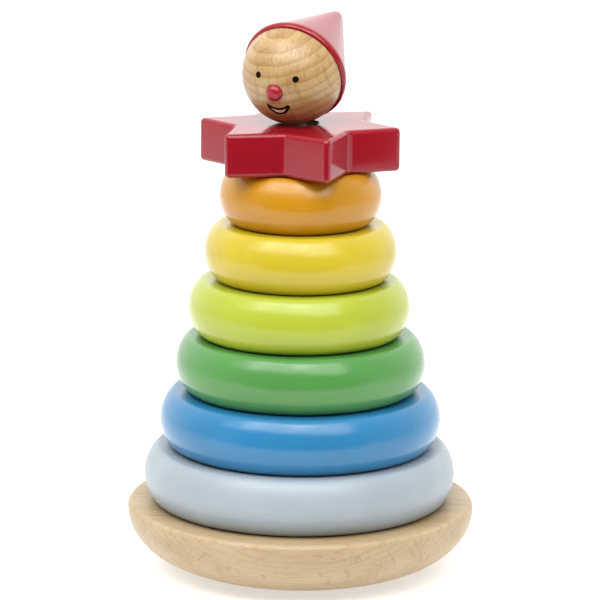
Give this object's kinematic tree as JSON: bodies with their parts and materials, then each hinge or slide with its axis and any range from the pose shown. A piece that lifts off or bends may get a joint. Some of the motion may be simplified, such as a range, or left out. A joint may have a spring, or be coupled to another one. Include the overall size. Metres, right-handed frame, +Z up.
{
  "type": "stacking ring toy",
  "caption": "Wooden stacking toy: lacquered rings, a star collar and a head in a pointed hat, threaded on a post that stands in a rounded base.",
  "frame": {"origin": "middle of the flat foot under the base, on the post's axis", "axes": "+Z up along the post, -Y towards the side that the face looks to"},
  "size_m": [0.13, 0.13, 0.206],
  "materials": {
    "bare_beech": "satin",
    "dowel_wood": "satin",
    "face_wood": "satin",
    "red_lacquer": "gloss",
    "nose_lacquer": "gloss",
    "face_ink": "satin",
    "ring_light_blue_lacquer": "gloss",
    "ring_blue_lacquer": "gloss",
    "ring_green_lacquer": "gloss",
    "ring_lime_lacquer": "gloss",
    "ring_yellow_lacquer": "gloss",
    "ring_orange_lacquer": "gloss"
  },
  "bodies": {
    "base": {"base": "bare_beech", "post": "dowel_wood"},
    "ring_light_blue": {"ring_light_blue": "ring_light_blue_lacquer"},
    "ring_blue": {"ring_blue": "ring_blue_lacquer"},
    "ring_green": {"ring_green": "ring_green_lacquer"},
    "ring_lime": {"ring_lime": "ring_lime_lacquer"},
    "ring_yellow": {"ring_yellow": "ring_yellow_lacquer"},
    "ring_orange": {"ring_orange": "ring_orange_lacquer"},
    "star": {"star": "red_lacquer"},
    "head": {"head": "face_wood", "hat": "red_lacquer", "nose": "nose_lacquer"}
  },
  "joints": [
    {"name": "lift_ring_light_blue", "type": "slide", "parent": "base", "child": "ring_light_blue", "axis": [-0.0175, 0, 0.9998], "range_m": [0, 0.162]},
    {"name": "lift_ring_blue", "type": "slide", "parent": "ring_light_blue", "child": "ring_blue", "axis": [-0.0175, 0, 0.9998], "range_m": [0, 0.141]},
    {"name": "lift_ring_green", "type": "slide", "parent": "ring_blue", "child": "ring_green", "axis": [-0.0175, 0, 0.9998], "range_m": [0, 0.12]},
    {"name": "lift_ring_lime", "type": "slide", "parent": "ring_green", "child": "ring_lime", "axis": [-0.0175, 0, 0.9998], "range_m": [0, 0.098]},
    {"name": "lift_ring_yellow", "type": "slide", "parent": "ring_lime", "child": "ring_yellow", "axis": [-0.0175, 0, 0.9998], "range_m": [0, 0.077]},
    {"name": "lift_ring_orange", "type": "slide", "parent": "ring_yellow", "child": "ring_orange", "axis": [-0.0175, 0, 0.9998], "range_m": [0, 0.056]},
    {"name": "lift_star", "type": "slide", "parent": "ring_orange", "child": "star", "axis": [-0.0175, 0, 0.9998], "range_m": [0, 0.035]},
    {"name": "lift_head", "type": "slide", "parent": "star", "child": "head", "axis": [-0.0175, 0, 0.9998], "range_m": [0, 0.018]}
  ]
}
